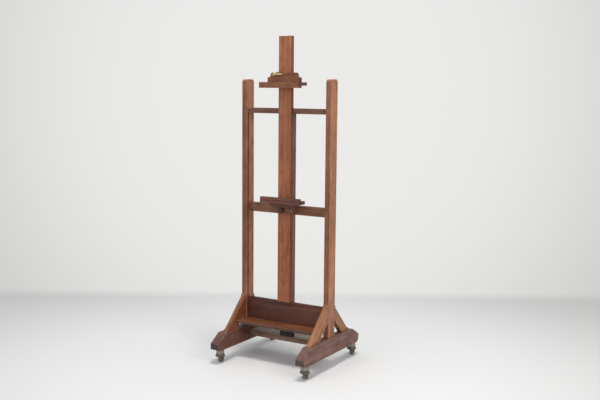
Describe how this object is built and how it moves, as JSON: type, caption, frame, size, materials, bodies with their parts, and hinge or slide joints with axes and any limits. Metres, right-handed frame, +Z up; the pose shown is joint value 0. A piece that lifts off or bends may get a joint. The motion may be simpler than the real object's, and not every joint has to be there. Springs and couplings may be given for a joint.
{
  "type": "artist studio easel",
  "caption": "Wooden H-frame studio easel on castors with a sliding mast, a top canvas clamp and a canvas tray that slide on the mast.",
  "frame": {"origin": "on the floor, under the middle of the box round the two feet", "axes": "+X to the right seen from the front, +Y to the back, +Z up; the canvas side faces -Y"},
  "size_m": [0.648, 0.658, 1.928],
  "materials": {
    "foot_wood": "waxed oak, greyed",
    "post_wood": "waxed oak, red-brown",
    "brace_wood": "waxed oak, pale",
    "dark_wood": "dark stained oak",
    "shelf_wood": "waxed oak, orange-brown",
    "mast_wood": "waxed oak, red-brown",
    "clamp_wood": "waxed oak, orange-brown",
    "tray_wood": "waxed oak, dark red-brown",
    "hard_wood": "planed hardwood",
    "brass": "worn satin",
    "steel": "satin",
    "knob": "dark turned, polished",
    "castor_metal": "dull grey, worn",
    "castor_wheel": "grey hard wheel, dull"
  },
  "bodies": {
    "frame": {"left_sledge": "foot_wood", "right_sledge": "foot_wood", "left_post": "post_wood", "right_post": "post_wood", "left_front_brace": "brace_wood", "left_rear_brace": "brace_wood", "right_front_brace": "brace_wood", "right_rear_brace": "brace_wood", "top_rail": "post_wood", "mid_rail": "post_wood", "bottom_board": "foot_wood", "centre_post": "post_wood", "backboard": "dark_wood", "shelf": "shelf_wood", "mast_key": "hard_wood", "mast_lock_insert": "brass", "brace_dowels": "hard_wood", "shelf_dowels": "hard_wood", "key_screws": "brass", "front_left_castor_socket": "castor_metal", "front_right_castor_socket": "castor_metal", "rear_left_castor_socket": "castor_metal", "rear_right_castor_socket": "castor_metal"},
    "mast": {"mast": "mast_wood"},
    "mast_lock": {"mast_lock_stud": "steel", "mast_lock_knob": "knob"},
    "clamp": {"clamp_block": "clamp_wood", "clamp_ledge": "clamp_wood", "clamp_lip": "clamp_wood", "clamp_runners": "hard_wood", "clamp_screws": "brass"},
    "cam_lever": {"clamp_cam": "brass", "clamp_lever": "brass"},
    "tray": {"tray_board": "tray_wood", "tray_lip": "tray_wood", "tray_bracket": "tray_wood", "tray_runners": "hard_wood", "tray_screws": "brass", "tray_insert": "brass"},
    "tray_lock": {"tray_lock_stud": "steel", "tray_lock_knob": "knob"},
    "front_left_castor": {"front_left_castor_stem": "castor_metal", "front_left_castor_horn": "castor_metal", "front_left_castor_axle": "castor_metal"},
    "front_left_wheel": {"front_left_castor_wheel": "castor_wheel"},
    "front_right_castor": {"front_right_castor_stem": "castor_metal", "front_right_castor_horn": "castor_metal", "front_right_castor_axle": "castor_metal"},
    "front_right_wheel": {"front_right_castor_wheel": "castor_wheel"},
    "rear_left_castor": {"rear_left_castor_stem": "castor_metal", "rear_left_castor_horn": "castor_metal", "rear_left_castor_axle": "castor_metal"},
    "rear_left_wheel": {"rear_left_castor_wheel": "castor_wheel"},
    "rear_right_castor": {"rear_right_castor_stem": "castor_metal", "rear_right_castor_horn": "castor_metal", "rear_right_castor_axle": "castor_metal"},
    "rear_right_wheel": {"rear_right_castor_wheel": "castor_wheel"}
  },
  "joints": [
    {"name": "mast_slide", "type": "slide", "parent": "frame", "child": "mast", "axis": [0, 0, 1], "range_m": [0, 0.65]},
    {"name": "mast_lock_turn", "type": "hinge", "parent": "frame", "child": "mast_lock", "pos_m": [0, 0.026, 1.38], "axis": [0, 1, 0], "range_deg": [0, 180]},
    {"name": "clamp_slide", "type": "slide", "parent": "mast", "child": "clamp", "axis": [0, 0, 1], "range_m": [-0.11, 0.195]},
    {"name": "cam_lever_turn", "type": "hinge", "parent": "clamp", "child": "cam_lever", "pos_m": [-0.063, -0.0575, 1.706], "axis": [0, -1, 0], "range_deg": [0, 90]},
    {"name": "tray_slide", "type": "slide", "parent": "mast", "child": "tray", "axis": [0, 0, 1], "range_m": [-0.52, 0.5]},
    {"name": "tray_lock_turn", "type": "hinge", "parent": "tray", "child": "tray_lock", "pos_m": [0, -0.0575, 0.916], "axis": [0, -1, 0], "range_deg": [0, 180]},
    {"name": "front_left_swivel", "type": "hinge", "parent": "frame", "child": "front_left_castor", "pos_m": [-0.294, -0.272, 0.08], "axis": [0, 0, 1], "continuous": true},
    {"name": "front_left_roll", "type": "hinge", "parent": "front_left_castor", "child": "front_left_wheel", "pos_m": [-0.294, -0.263, 0.021], "axis": [1, 0, 0], "continuous": true},
    {"name": "front_right_swivel", "type": "hinge", "parent": "frame", "child": "front_right_castor", "pos_m": [0.294, -0.272, 0.08], "axis": [0, 0, 1], "continuous": true},
    {"name": "front_right_roll", "type": "hinge", "parent": "front_right_castor", "child": "front_right_wheel", "pos_m": [0.294, -0.263, 0.021], "axis": [1, 0, 0], "continuous": true},
    {"name": "rear_left_swivel", "type": "hinge", "parent": "frame", "child": "rear_left_castor", "pos_m": [-0.294, 0.29, 0.08], "axis": [0, 0, 1], "continuous": true},
    {"name": "rear_left_roll", "type": "hinge", "parent": "rear_left_castor", "child": "rear_left_wheel", "pos_m": [-0.294, 0.299, 0.021], "axis": [1, 0, 0], "continuous": true},
    {"name": "rear_right_swivel", "type": "hinge", "parent": "frame", "child": "rear_right_castor", "pos_m": [0.294, 0.29, 0.08], "axis": [0, 0, 1], "continuous": true},
    {"name": "rear_right_roll", "type": "hinge", "parent": "rear_right_castor", "child": "rear_right_wheel", "pos_m": [0.294, 0.299, 0.021], "axis": [1, 0, 0], "continuous": true}
  ]
}
